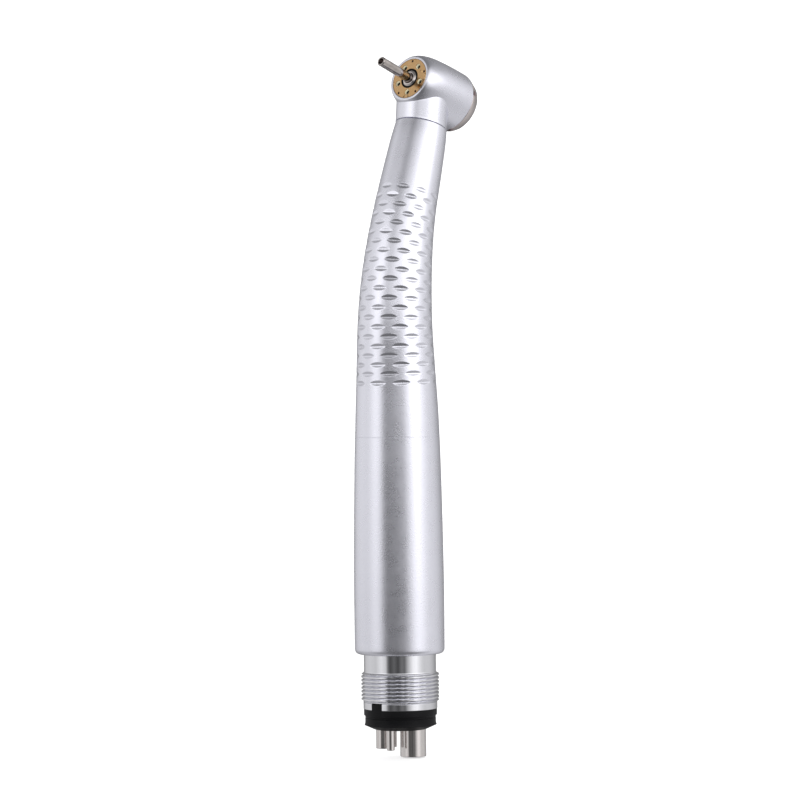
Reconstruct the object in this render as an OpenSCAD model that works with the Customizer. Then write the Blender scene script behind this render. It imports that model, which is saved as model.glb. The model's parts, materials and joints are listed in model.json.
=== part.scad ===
// High speed handpiece: a dental turbine with a bent grip, a push-button chuck, five LEDs in the
// face, a small generator in the rear sleeve and a threaded four-tube connector.
// +Z runs up the rear handle to the head, the neck leans to +X and the bur points to -X.

/* [Neck and head] */
// Angle between the neck and the rear handle, degrees
bend_angle = 17.8; // [17.4:0.1:18]
// Height of the bur axis where the neck axis meets it
head_z = 109.1; // [109:0.1:109.3]
// Distance from the face of the head back to the neck axis
face_drop = 5.3; // [5.2:0.05:5.4]
// Radius of the head where the cap joins it
head_r = 5.42; // [5.35:0.01:5.5]
// Radius of the neck collar
neck_r = 4.45; // [4.4:0.05:4.6]
// Distance along the neck from the bur axis to the grip sleeve
neck_length = 6.9; // [6.7:0.1:7.1]

/* [Face plate] */
// Radius of the brass face plate
plate_r = 3.55; // [3.5:0.01:3.6]
// Thickness of the face plate
plate_t = 0.5; // [0.4:0.05:0.5]
// Number of LEDs, and of spray holes between them
led_count = 5; // [5:1:5]
// Radius of the LED circle
led_circle_r = 2.5; // [2.4:0.05:2.55]
// Radius of one LED well
led_r = 0.5; // [0.4:0.05:0.55]
// Radius of the spray hole circle
spray_circle_r = 3.15; // [3.1:0.05:3.2]
// Radius of one spray hole
spray_r = 0.16; // [0.1:0.01:0.2]

/* [Turbine] */
// Radius of the bur shank
bur_r = 0.8; // [0.78:0.01:0.81]
// Length of bur that stands out of the face
bur_out = 7.9; // [6:0.1:9]
// Length of bur held in the chuck
bur_in = 10.1; // [9:0.1:10.1]
// Radius of the spindle inside the bearings
spindle_r = 1.5875; // [1.58:0.0025:1.59]
// Outer radius of each bearing
bearing_r = 3.175; // [3.15:0.005:3.2]
// Width of each bearing
bearing_w = 2.4; // [2.3:0.1:2.4]
// Radius of one bearing ball
ball_r = 0.5; // [0.45:0.01:0.5]
// Number of balls in each bearing
ball_count = 7; // [6:1:7]
// Outer radius of the impeller
impeller_r = 4; // [3.8:0.05:4.05]
// Number of impeller buckets
bucket_count = 9; // [7:1:10]

/* [Handle] */
// Radius of the rear sleeve at its back end
rear_r = 7.59; // [7.5:0.01:7.7]
// Height of the seam between the rear sleeve and the grip sleeve
seam_z = 49.5; // [48:0.5:50]
// Radius of the handle at that seam
seam_r = 7.18; // [7.1:0.01:7.25]
// Wall of the grip sleeve and the rear sleeve
sleeve_wall = 0.7; // [0.6:0.05:0.8]

/* [Connector] */
// Height of the back end of the rear sleeve
sleeve_z = 12.8; // [12.6:0.1:13]
// Crest radius of the connector thread
thread_r = 6.6; // [6.55:0.01:6.65]
// Pitch of the connector thread
thread_pitch = 0.63; // [0.6:0.01:0.63]
// Depth of the connector thread
thread_depth = 0.42; // [0.3:0.02:0.42]
// Radius of the polished collar
collar_r = 6.12; // [6.05:0.01:6.15]
// Radius of the black insulator
insulator_r = 6.2; // [6.1:0.01:6.2]
// Outer radius of the exhaust tube
exhaust_r = 2.2; // [2.1:0.05:2.3]
// Outer radius of the drive-air tube
drive_r = 1.3; // [1.2:0.05:1.35]
// Outer radius of the water tube and the chip-air tube
small_r = 0.65; // [0.6:0.05:0.7]

/* [Generator] */
// Radius of the generator housing
gen_r = 4.4; // [4.3:0.05:4.5]
// Height of the back end of the generator housing
gen_z = 20.5; // [20:0.5:21]
// Length of the generator housing
gen_len = 21.5; // [21:0.5:22]

/* [Hidden] */
$fn = 64;
// Small overlap that lets a cut pass clean through a face
cut = 0.1;
// Running clearance between parts that turn or slide on each other
run = 0.03;
// Clearance between parts that are only assembled
fit_gap = 0.02;
// Clearance between parts pressed together
seat_gap = 0.005;

// Heights in the head, measured from the neck axis towards the bur tip
face_h = face_drop;
plate_h = face_h - plate_t;
board_t = 0.35;
board_h = plate_h - board_t;
gallery_h = board_h - 0.45;
seal_r = 1.72;
seal_out = 0.05;
front_bearing_h = 1.35;
rear_bearing_h = -5.3;
impeller_h = -2.5;
impeller_w = 3.4;
cap_seam_h = face_h - 11.1;
cap_back_h = face_h - 13.1;
cap_back_r = 4.7;
button_r = 3.4;
button_lip_r = 3.7;
thread_seat_r = 4.75;
seat_r = 3.5;
chamber_r = 4.15;
button_top_h = cap_back_h - 0.2;
button_lip_h = cap_back_h + 0.48;
button_bottom_h = cap_back_h + 0.75;

// Bearing sizes
pitch_r = (bearing_r + spindle_r) / 2;
race_wall = 0.42;
groove_gap = 0.015;
cage_t = 0.36;

// Openings in the head housing; the depths along the neck are measured back from the bur axis
chamber_low = impeller_h - 0.4;
chamber_len = impeller_w + 0.8;
front_bore_r = 1.85;
gallery_in = 2.8;
gallery_out = 3.9;
neck_root_r = 5.15;
neck_insert_r = 3.68;
neck_bore_r = 3.2;
neck_bore_end = 5;
nozzle_r = 0.6;
port_r = 1;
port_end = 3.2;
channel_r = 0.25;
channel_x = 3.55;

// Spindle and chuck sizes
collet_r = 1.15;
collet_bore_r = bur_r + run;
nose_r = 1.45;
nose_tip_r = 1.1;
nose_out = 0.25;
nose_h = face_h + nose_out;
spindle_back_h = -5.35;
collet_back_h = -4.15;
collet_front_h = 4.4;
pusher_front_h = -4.85;
pusher_back_h = -6.95;
pusher_r = 1.1;

// Handle sizes
insert_len = 3;
grip_steps = 30;
grip_sides = 48;
bow_angle = 1.4;
bow_start = seam_z;
bow_end = 58;
arc_start = 64.8;
arc_end = 90.8;
tube_end = -3.4;
exhaust_end = -4.7;
drive_end = -3.3;
rear_face_r = 4.45;
lip_z = 0.77;
step_z = 2.4;
ring_z = 3.5;
thread_z = 4.6;
thread_top = 9.66;
shell_r = 5.1;
groove_z = 15;
insert_top = 17;
flange_top = 19;
tube_top = 10;
tube_step = 0.2;
key_w = 2.3;
insert_r = 6.85;
spigot_r = 6.4;
flange_r = 6.3;
ring_r = 6.27;
side_pipe_x = -5;
drive_pipe_x = 1;
wire_x = -3.6;
gen_port_at = [-2.3, 2.1];
gen_port_r = 1;
gen_port_bore = 0.7;
gen_bore_r = gen_r - 0.5;
gen_cap_t = 1;
gen_shaft_r = 0.5;
bush_r = 1.2;
grip_top = head_z - neck_length * cos(bend_angle);
// Corners of the grip outline: [height, radius]
grip_radii = [[seam_z, seam_r], [53.3, 7.05], [59, 6.78], [67, 6.42], [73.5, 6.14], [80, 5.78],
  [85, 5.47], [89, 5.26], [92.3, 5.12], [96.4, 4.92], [100.5, 4.67], [grip_top, neck_r]];

// Lean of the handle axis at height z, positive towards +X
function ramp(z, low, high, a, b) = a + (b - a) * (max(low, min(high, z)) - low) / (high - low);
function lean(z) = ramp(z, bow_start, bow_end, 0, -bow_angle)
  + ramp(z, arc_start, arc_end, 0, bend_angle + bow_angle);

// Distance of the handle axis from the rear axis at height z
function ramp_x(z, low, high, a, b) =
  (high - low) / ((b - a) * PI / 180) * ln(cos(a) / cos(ramp(z, low, high, a, b)));
function axis_x(z) = ramp_x(z, bow_start, bow_end, 0, -bow_angle)
  - tan(bow_angle) * max(0, min(z, arc_start) - bow_end)
  + ramp_x(z, arc_start, arc_end, -bow_angle, bend_angle)
  + tan(bend_angle) * max(0, z - arc_end);
head_x = axis_x(head_z);

// Tube places across the connector: [x, y]
exhaust_at = [1.33, -1.6];
drive_at = [-1.87, 2.22];
water_at = [-3.31, -0.57];
chip_at = [1.38, 2.86];

// Places of the pipes where they pass the neck, in the head frame: [y, height]
neck_drive_at = [1.75, -0.8];
neck_exhaust_at = [-1.7, -0.8];
neck_water_at = [-1.25, 2.2];
neck_chip_at = [1.25, 2.2];
neck_wire_at = [0.25, 2.8];
neck_drive_r = 0.85;
drive_pipe_in = 0.65;
neck_pipe_r = 0.45;
side_pipe_in = 0.28;
wire_r = 0.2;
// Distances from the bur axis to the ends of the pipes and wires
drive_pipe_stop = 4.8;
neck_pipe_stop = 4.6;
wire_stop = 4.7;
// Heights where the side pipes and the generator's pipe begin
side_pipe_z = insert_top + 0.6;
gen_top = gen_z + gen_len;
// Bend radius of the pipes
pipe_bend_r = 80;
bend_steps = 12;
pipe_sides = 20;

// Turns and moves what is drawn at the bur axis into its place on the handle
module at_head() {
  translate([head_x, 0, head_z]) rotate([0, bend_angle - 90, 0]) children();
}

// A tube along Z
module tube(r_out, r_in, h) {
  difference() {
    cylinder(r = r_out, h = h);
    translate([0, 0, -cut]) cylinder(r = r_in, h = h + 2 * cut);
  }
}

// A ring with a round section
module o_ring(r_mid, r_section) {
  rotate_extrude($fn = 96) translate([r_mid, 0]) circle(r = r_section, $fn = 32);
}

// ---- Head ----

// Outer shape of the head: [radius, height]
function head_profile() = [
  [0, cap_seam_h], [head_r, cap_seam_h], [5.35, face_h - 8], [5.2, face_h - 5], [5, face_h - 3],
  [4.7, face_h - 1.5], [4.35, face_h - 0.6], [4, face_h], [0, face_h]];

module head_body() {
  rotate_extrude($fn = 128) polygon(head_profile());
  rotate([0, -90, 0]) cylinder(r1 = neck_root_r, r2 = neck_r, h = neck_length, $fn = 96);
  rotate([0, -90, 0]) cylinder(r = neck_insert_r, h = neck_length + insert_len, $fn = 96);
}

// A hole that runs along the neck, from depth a to depth b measured back from the bur axis
module neck_hole(at, r, a, b) {
  translate([-b, at[0], at[1]]) rotate([0, 90, 0]) cylinder(r = r, h = b - a, $fn = 48);
}

module head_housing() color("silver") at_head() {
  difference() {
    head_body();
    translate([0, 0, plate_h]) cylinder(r = plate_r + fit_gap, h = plate_t + cut, $fn = 96);
    translate([0, 0, board_h]) cylinder(r = seat_r, h = plate_t, $fn = 96);
    translate([0, 0, gallery_h]) tube(gallery_out, gallery_in, board_h - gallery_h + cut);
    translate([0, 0, chamber_low]) cylinder(r = front_bore_r, h = face_h - chamber_low);
    translate([0, 0, front_bearing_h - cut]) cylinder(r = seat_r, h = bearing_w + cut, $fn = 96);
    translate([0, 0, chamber_low]) cylinder(r = chamber_r, h = chamber_len, $fn = 96);
    translate([0, 0, cap_seam_h - cut])
      cylinder(r = thread_seat_r, h = chamber_low - cap_seam_h + 2 * cut, $fn = 96);
    neck_hole([0, 0], neck_bore_r, neck_bore_end, neck_length + insert_len + cut);
    // Drive air nozzle, exhaust port and wire hole
    neck_hole(neck_drive_at, neck_drive_r + fit_gap, drive_pipe_stop - cut, neck_length);
    neck_hole(neck_drive_at, nozzle_r, port_end, neck_length);
    neck_hole(neck_exhaust_at, port_r, port_end, neck_length);
    for (side = [-1, 1])
      neck_hole([side * neck_wire_at[0], neck_wire_at[1]], wire_r + fit_gap, wire_stop - cut, neck_length);
    // Water and chip-air channels up to the ring gallery behind the face plate
    for (at = [neck_water_at, neck_chip_at]) {
      neck_hole(at, neck_pipe_r + fit_gap, neck_pipe_stop - cut, neck_length);
      neck_hole(at, channel_r, channel_x, neck_length);
      translate([-channel_x, at[0], at[1]]) cylinder(r = channel_r, h = board_h - at[1], $fn = 32);
    }
  }
}

module face_plate() color("goldenrod") at_head() {
  slot_angle = 238;
  slot_in = 2.7;
  slot_len = 0.7;
  slot_w = 0.76;
  slot_depth = 0.25;
  difference() {
    translate([0, 0, plate_h]) cylinder(r = plate_r, h = plate_t, $fn = 96);
    translate([0, 0, plate_h - cut]) cylinder(r = seal_r + fit_gap, h = plate_t + 2 * cut, $fn = 64);
    for (i = [0 : led_count - 1]) {
      rotate([0, 0, led_angle(i)]) translate([led_circle_r, 0, plate_h - cut])
        cylinder(r = led_r, h = plate_t + 2 * cut, $fn = 48);
      rotate([0, 0, led_angle(i + 0.5)]) translate([spray_circle_r, 0, plate_h - cut])
        cylinder(r = spray_r, h = plate_t + 2 * cut, $fn = 24);
    }
    rotate([0, 0, slot_angle]) translate([slot_in, -slot_w / 2, face_h - slot_depth])
      cube([slot_len, slot_w, slot_depth + cut]);
  }
}

// Angle of LED number i round the bur axis, from the top of the head
function led_angle(i) = 181 + i * 360 / led_count;

module led_board() color("darkgreen") at_head() {
  difference() {
    translate([0, 0, board_h]) cylinder(r = seat_r - fit_gap, h = board_t - fit_gap, $fn = 96);
    translate([0, 0, board_h - cut]) cylinder(r = seal_r + 0.05, h = board_t + 2 * cut, $fn = 64);
    for (i = [0 : led_count - 1]) {
      rotate([0, 0, led_angle(i + 0.5)]) translate([spray_circle_r, 0, board_h - cut])
        cylinder(r = spray_r, h = board_t + 2 * cut, $fn = 24);
    }
  }
}

module led_emitters() color("lightyellow") at_head() {
  for (i = [0 : led_count - 1]) {
    rotate([0, 0, led_angle(i)]) translate([led_circle_r, 0, plate_h])
      cylinder(r = led_r - 0.06, h = plate_t - 0.2, $fn = 48);
  }
}

module front_seal_ring() color("black") at_head() {
  translate([0, 0, board_h]) tube(seal_r, nose_r + run, face_h - board_h + seal_out);
}

// ---- Back cap and button ----

module back_cap() color("silver") at_head() {
  notch_turn = 14;
  notch_w = 1;
  notch_depth = 0.5;
  notch_h = 0.9;
  skirt_len = 2.4;
  recess_h = rear_bearing_h - 0.3;
  difference() {
    union() {
      rotate_extrude($fn = 128) polygon([
        [0, cap_seam_h], [head_r, cap_seam_h], [head_r - 0.02, cap_seam_h - 0.25],
        [cap_back_r, cap_back_h], [0, cap_back_h]]);
      translate([0, 0, cap_seam_h - cut])
        cylinder(r = thread_seat_r - fit_gap, h = skirt_len + cut, $fn = 96);
    }
    // Opening for the button, the room behind it and the rear bearing seat
    translate([0, 0, cap_back_h - cut]) cylinder(r = button_r + run, h = 1, $fn = 96);
    translate([0, 0, cap_back_h + 0.45]) cylinder(r = button_lip_r + run, h = 1.2, $fn = 96);
    translate([0, 0, cap_back_h + 1]) cylinder(r = 2.9, h = 3, $fn = 96);
    translate([0, 0, recess_h])
      cylinder(r = seat_r, h = cap_seam_h + skirt_len - recess_h + cut, $fn = 96);
    for (i = [0 : 3]) {
      rotate([0, 0, notch_turn + 90 * i]) translate([head_r - notch_depth, -notch_w / 2, cap_seam_h - notch_h])
        cube([1, notch_w, notch_h + cut]);
    }
  }
}

module push_button() color("silver") at_head() {
  rotate_extrude($fn = 96) polygon([
    [0, button_top_h], [2.6, button_top_h], [button_r - 0.15, button_top_h + 0.12],
    [button_r, button_top_h + 0.3], [button_r, button_lip_h], [button_lip_r, button_lip_h],
    [button_lip_r, button_bottom_h], [0, button_bottom_h]]);
}

module button_spring() color("dimgray") at_head() {
  coil_r = 3.3;
  coil_pitch = 0.29;
  wire_half = 0.13;
  for (i = [0 : 2])
    translate([0, 0, button_bottom_h + 0.15 + coil_pitch * i]) o_ring(coil_r, wire_half);
}

module release_pusher() color("silver") at_head() {
  difference() {
    translate([0, 0, pusher_back_h]) cylinder(r = pusher_r, h = pusher_front_h - pusher_back_h);
    translate([0, 0, pusher_back_h + 1]) cylinder(r = bur_r + 0.12, h = 3);
  }
}

// ---- Rotor ----

module spindle() color("lightgray") at_head() {
  difference() {
    rotate_extrude($fn = 96) polygon([
      [0, spindle_back_h], [spindle_r, spindle_back_h], [spindle_r, front_bearing_h + bearing_w],
      [nose_r, front_bearing_h + bearing_w + 0.05], [nose_r, face_h], [nose_tip_r, nose_h], [0, nose_h]]);
    translate([0, 0, spindle_back_h - cut])
      cylinder(r = collet_r + fit_gap, h = collet_front_h - spindle_back_h + cut);
    cylinder(r = bur_r + run, h = nose_h + cut);
  }
}

module chuck_collet() color("gray") at_head() {
  slit_w = 0.18;
  slit_len = 4;
  difference() {
    translate([0, 0, collet_back_h]) cylinder(r = collet_r, h = collet_front_h - collet_back_h);
    translate([0, 0, collet_back_h - cut]) cylinder(r = collet_bore_r, h = 10);
    for (i = [0 : 2]) {
      rotate([0, 0, 120 * i]) translate([0, -slit_w / 2, collet_back_h - cut]) cube([2, slit_w, slit_len]);
    }
  }
}

module impeller() color("silver") at_head() {
  bucket_r = 0.95;
  bucket_at = impeller_r - 0.35;
  relief_t = 0.3;
  relief_in = 2;
  translate([0, 0, impeller_h]) difference() {
    cylinder(r = impeller_r, h = impeller_w, $fn = 128);
    translate([0, 0, -cut]) cylinder(r = spindle_r, h = impeller_w + 2 * cut);
    for (i = [0 : bucket_count - 1]) {
      rotate([0, 0, i * 360 / bucket_count]) translate([bucket_at, 0, -cut])
        cylinder(r = bucket_r, h = impeller_w + 2 * cut, $fn = 48);
    }
    for (low = [-cut, impeller_w - relief_t]) {
      translate([0, 0, low]) tube(bearing_r + 0.3, relief_in, relief_t + cut);
    }
  }
}

module outer_race(h) {
  difference() {
    translate([0, 0, h]) tube(bearing_r, bearing_r - race_wall, bearing_w);
    translate([0, 0, h + bearing_w / 2]) o_ring(pitch_r, ball_r + groove_gap);
  }
}

module inner_race(h) {
  difference() {
    translate([0, 0, h]) tube(spindle_r + race_wall, spindle_r, bearing_w);
    translate([0, 0, h + bearing_w / 2]) o_ring(pitch_r, ball_r + groove_gap);
  }
}

module balls(h) {
  for (i = [0 : ball_count - 1]) {
    rotate([0, 0, i * 360 / ball_count]) translate([pitch_r, 0, h + bearing_w / 2])
      sphere(r = ball_r, $fn = 32);
  }
}

module cage(h) {
  difference() {
    translate([0, 0, h + 0.3]) tube(pitch_r + cage_t / 2, pitch_r - cage_t / 2, bearing_w - 0.6);
    for (i = [0 : ball_count - 1]) {
      rotate([0, 0, i * 360 / ball_count]) translate([pitch_r - 1, 0, h + bearing_w / 2])
        rotate([0, 90, 0]) cylinder(r = ball_r + run, h = 2, $fn = 48);
    }
  }
}

module front_outer_race() color("silver") at_head() outer_race(front_bearing_h);
module front_inner_race() color("silver") at_head() inner_race(front_bearing_h);
module front_balls() color("silver") at_head() balls(front_bearing_h);
module front_cage() color("tan") at_head() cage(front_bearing_h);
module rear_outer_race() color("silver") at_head() outer_race(rear_bearing_h);
module rear_inner_race() color("silver") at_head() inner_race(rear_bearing_h);
module rear_balls() color("silver") at_head() balls(rear_bearing_h);
module rear_cage() color("tan") at_head() cage(rear_bearing_h);

// Soft rings that hold the bearings in their seats
module suspension_ring(h) {
  translate([0, 0, h + 0.7]) tube(seat_r - fit_gap, bearing_r + fit_gap, 1);
}

module front_suspension_ring() color("black") at_head() suspension_ring(front_bearing_h);
module rear_suspension_ring() color("black") at_head() suspension_ring(rear_bearing_h);

module preload_washer() color("gray") at_head() {
  translate([0, 0, rear_bearing_h - 0.28]) tube(seat_r - 0.1, 2.95, 0.22);
}

module bur() color("silver") at_head() {
  tip_h = face_h + bur_out;
  rotate_extrude($fn = 64) polygon([
    [0, face_h - bur_in], [bur_r - 0.15, face_h - bur_in], [bur_r, face_h - bur_in + 0.15],
    [bur_r, tip_h - 0.12], [bur_r - 0.12, tip_h], [0, tip_h]]);
}

// ---- Handle ----

// One point of a ring round the handle axis at height z, with radius r and angle a
function ring_point(z, r, a) = [
  axis_x(z) + r * cos(a) * cos(lean(z)), r * sin(a), z - r * cos(a) * sin(lean(z))];
function grip_height(i) = seam_z + (grip_top - seam_z) * i / grip_steps;
function ring(z, r) = [for (j = [0 : grip_sides - 1]) ring_point(z, r, j * 360 / grip_sides)];

// Side faces between rings that stand one above the next; base is the number of the first point
function side_faces(count, n, base) = [for (i = [0 : count - 2]) for (j = [0 : n - 1])
  [i * n + j, (i + 1) * n + j, (i + 1) * n + (j + 1) % n, i * n + (j + 1) % n] + base * [1, 1, 1, 1]];
function flipped(faces) = [for (f = faces) [for (k = [len(f) - 1 : -1 : 0]) f[k]]];

// A tube wall between two stacks of rings, each ring a list of n points
module shell(outer, inner, n) {
  count = len(outer) / n;
  base = len(outer);
  last = base - n;
  low_end = [for (j = [0 : n - 1]) [j, (j + 1) % n, base + (j + 1) % n, base + j]];
  high_end = [for (f = flipped(low_end)) f + last * [1, 1, 1, 1]];
  polyhedron(points = concat(outer, inner), convexity = 4,
    faces = concat(side_faces(count, n, 0), flipped(side_faces(count, n, base)), low_end, high_end));
}

// A solid rod through a stack of rings
module rod(rings, n) {
  count = len(rings) / n;
  low_end = [[for (j = [0 : n - 1]) j]];
  high_end = [[for (j = [n - 1 : -1 : 0]) len(rings) - n + j]];
  polyhedron(points = rings, convexity = 4, faces = concat(side_faces(count, n, 0), low_end, high_end));
}

module grip_sleeve() color("silver") {
  heights = [for (i = [0 : grip_steps]) grip_height(i)];
  shell([for (z = heights) each ring(z, lookup(z, grip_radii))],
    [for (z = heights) each ring(z, lookup(z, grip_radii) - sleeve_wall)], grip_sides);
}

module rear_sleeve() color("silver") {
  edge_r = 0.65;
  spigot_in = spigot_r - 0.6;
  edge = [for (a = [0 : 15 : 90])
    [rear_r - edge_r + edge_r * sin(a), sleeve_z + edge_r - edge_r * cos(a)]];
  rotate_extrude($fn = 128) polygon(concat(edge, [
    [rear_r + 0.03, 20], [rear_r - 0.02, 30.8], [7.49, 36.9], [7.41, 41], [7.32, 45.1],
    [seam_r, seam_z], [spigot_r, seam_z], [spigot_r - 0.15, seam_z + insert_len],
    [spigot_in, seam_z + insert_len], [spigot_in, seam_z - 1],
    [insert_r + fit_gap, seam_z - 6], [insert_r + fit_gap, sleeve_z]]));
}

// Path of a pipe that rises beside the rear axis, bends once and runs up the neck, as a list of
// [x, z, lean]. start is its lowest height, x its place in the bend plane, h its height in the head
// frame and stop the distance from the bur axis to its end.
function pipe_path(start, x, h, stop) =
  let (meet_x = head_x - h * cos(bend_angle),
    setback = pipe_bend_r * tan(bend_angle / 2),
    low = head_z + h * sin(bend_angle) + (x - meet_x) / tan(bend_angle) - setback)
  concat([[x, start, 0]],
    [for (i = [0 : bend_steps]) let (t = bend_angle * i / bend_steps)
      [x + pipe_bend_r * (1 - cos(t)), low + pipe_bend_r * sin(t), t]],
    [[meet_x - stop * sin(bend_angle), head_z + h * sin(bend_angle) - stop * cos(bend_angle),
      bend_angle]]);
function path_rings(path, y, r, n) = [for (p = path) for (j = [0 : n - 1]) let (a = j * 360 / n)
  [p[0] + r * cos(a) * cos(p[2]), y + r * sin(a), p[1] - r * cos(a) * sin(p[2])]];

module bent_pipe(start, x, at, r_out, r_in, stop) {
  path = pipe_path(start, x, at[1], stop);
  shell(path_rings(path, at[0], r_out, pipe_sides), path_rings(path, at[0], r_in, pipe_sides), pipe_sides);
}

module drive_air_pipe() color("silver")
  bent_pipe(gen_top - 0.8, drive_pipe_x, neck_drive_at, neck_drive_r, drive_pipe_in, drive_pipe_stop);
module water_pipe() color("silver")
  bent_pipe(side_pipe_z, side_pipe_x, neck_water_at, neck_pipe_r, side_pipe_in, neck_pipe_stop);
module chip_air_pipe() color("silver")
  bent_pipe(side_pipe_z, side_pipe_x, neck_chip_at, neck_pipe_r, side_pipe_in, neck_pipe_stop);
module led_wires() color("red") {
  wire_sides = 10;
  path = pipe_path(gen_top, wire_x, neck_wire_at[1], wire_stop);
  for (side = [-1, 1]) rod(path_rings(path, side * neck_wire_at[0], wire_r, wire_sides), wire_sides);
}

// ---- Generator ----

module generator_housing() color("gray") {
  floor_t = 1;
  difference() {
    union() {
      translate([0, 0, gen_z]) cylinder(r = gen_r, h = gen_len - gen_cap_t, $fn = 96);
      at_port(flange_top - 0.9) cylinder(r = gen_port_r, h = gen_z - flange_top + 1);
    }
    translate([0, 0, gen_z + floor_t]) cylinder(r = gen_bore_r, h = gen_len, $fn = 96);
    at_port(flange_top - 1) cylinder(r = gen_port_bore, h = gen_z + floor_t - flange_top + 1 + cut);
    translate([0, 0, gen_z - cut]) cylinder(r = bush_r + fit_gap, h = floor_t + 2 * cut);
  }
}

// Places something over the air port of the generator at height z
module at_port(z) {
  translate([gen_port_at[0], gen_port_at[1], z]) children();
}

module generator_end_cap() color("gray") {
  spigot_len = 0.6;
  translate([0, 0, gen_top - gen_cap_t]) difference() {
    union() {
      cylinder(r = gen_r, h = gen_cap_t, $fn = 96);
      translate([0, 0, -spigot_len])
        cylinder(r = gen_bore_r - fit_gap, h = spigot_len + cut, $fn = 96);
    }
    translate([0, 0, -gen_cap_t]) cylinder(r = bush_r + fit_gap, h = 3 * gen_cap_t);
    translate([drive_pipe_x, neck_drive_at[0], 0.2])
      cylinder(r = neck_drive_r + fit_gap, h = gen_cap_t);
    translate([drive_pipe_x, neck_drive_at[0], -gen_cap_t])
      cylinder(r = drive_pipe_in, h = 3 * gen_cap_t);
  }
}

module generator_coil() color("peru") {
  coil_in = 2.75;
  coil_len = 9;
  translate([0, 0, gen_z + 2]) tube(gen_bore_r - fit_gap, coil_in, coil_len);
}

module generator_magnet() color("dimgray") {
  magnet_r = 2.4;
  magnet_len = 8;
  translate([0, 0, gen_z + 2.5]) tube(magnet_r, gen_shaft_r + seat_gap, magnet_len);
}

module generator_wheel() color("white") {
  wheel_r = 3.5;
  wheel_w = 3;
  pocket_r = 0.8;
  pocket_count = 8;
  translate([0, 0, gen_z + 13.5]) difference() {
    cylinder(r = wheel_r, h = wheel_w, $fn = 96);
    translate([0, 0, -cut]) cylinder(r = gen_shaft_r + seat_gap, h = wheel_w + 2 * cut);
    for (i = [0 : pocket_count - 1])
      rotate([0, 0, i * 360 / pocket_count]) translate([wheel_r - 0.2, 0, -cut])
        cylinder(r = pocket_r, h = wheel_w + 2 * cut, $fn = 48);
  }
}

module generator_shaft() color("silver") {
  end_gap = 0.1;
  translate([0, 0, gen_z + end_gap])
    cylinder(r = gen_shaft_r, h = gen_len - 2 * end_gap, $fn = 48);
}

module generator_bushes() color("brown") {
  bush_len = 1.2;
  for (z = [gen_z, gen_top - bush_len])
    translate([0, 0, z]) tube(bush_r, gen_shaft_r + run, bush_len);
}

// ---- Connector ----

// Outline of the thread: one low and one high corner for each crest
function thread_outline() = [for (z = [thread_z : thread_pitch : thread_top - thread_pitch]) each [
  [thread_r - thread_depth, z + 0.02], [thread_r, z + 0.26], [thread_r, z + 0.42],
  [thread_r - thread_depth, z + thread_pitch - 0.02]]];

module connector_collar() color("silver") {
  groove_low = groove_z - 0.4;
  groove_high = groove_z + 0.4;
  groove_r = insert_r - 0.6;
  rotate_extrude($fn = 128) polygon(concat(
    [[shell_r, thread_z], [thread_r - thread_depth, thread_z]],
    thread_outline(),
    [[collar_r, thread_top + 0.05], [collar_r, sleeve_z], [insert_r, sleeve_z], [insert_r, groove_low],
    [groove_r, groove_low], [groove_r, groove_high], [insert_r, groove_high],
    [insert_r, insert_top], [shell_r, insert_top]]));
}

module sleeve_o_ring() color("black") {
  translate([0, 0, groove_z]) o_ring(insert_r - 0.31, 0.29);
}

module slotted_ring() color("silver") {
  difference() {
    translate([0, 0, ring_z]) tube(ring_r, shell_r, thread_z - ring_z);
    translate([-ring_r - 1, -key_w / 2, ring_z - cut]) cube([3, key_w, thread_z - ring_z + 2 * cut]);
  }
}

// Holes for the four tubes, from height low to height high
module tube_holes(low, high) {
  gap = tube_step + fit_gap;
  translate([exhaust_at[0], exhaust_at[1], low]) cylinder(r = exhaust_r + gap, h = high - low);
  translate([drive_at[0], drive_at[1], low]) cylinder(r = drive_r + gap, h = high - low, $fn = 48);
  for (at = [water_at, chip_at])
    translate([at[0], at[1], low]) cylinder(r = small_r + gap, h = high - low, $fn = 48);
}

module insulator() color("black") {
  side_r = insulator_r - 0.2;
  difference() {
    rotate_extrude($fn = 128) polygon([
      [0, 0], [rear_face_r, 0], [insulator_r - 0.08, lip_z], [side_r, 1.2], [side_r, 1.9],
      [side_r - 0.1, 1.95], [side_r - 0.1, 2.1], [side_r, 2.15],
      [side_r, step_z], [insulator_r, step_z], [insulator_r, ring_z], [0, ring_z]]);
    tube_holes(-cut, ring_z + cut);
  }
  // Key that fills the slot of the chrome ring
  intersection() {
    translate([0, 0, ring_z]) tube(insulator_r, shell_r + fit_gap, thread_z - ring_z - fit_gap);
    translate([-ring_r, -key_w / 2 + fit_gap, ring_z]) cube([3, key_w - 2 * fit_gap, thread_z - ring_z]);
  }
}

// A straight hole from point p to point q
module hole_between(p, q, r) {
  d = q - p;
  translate(p) rotate([0, acos(d[2] / norm(d)), atan2(d[1], d[0])]) cylinder(r = r, h = norm(d), $fn = 32);
}

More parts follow.
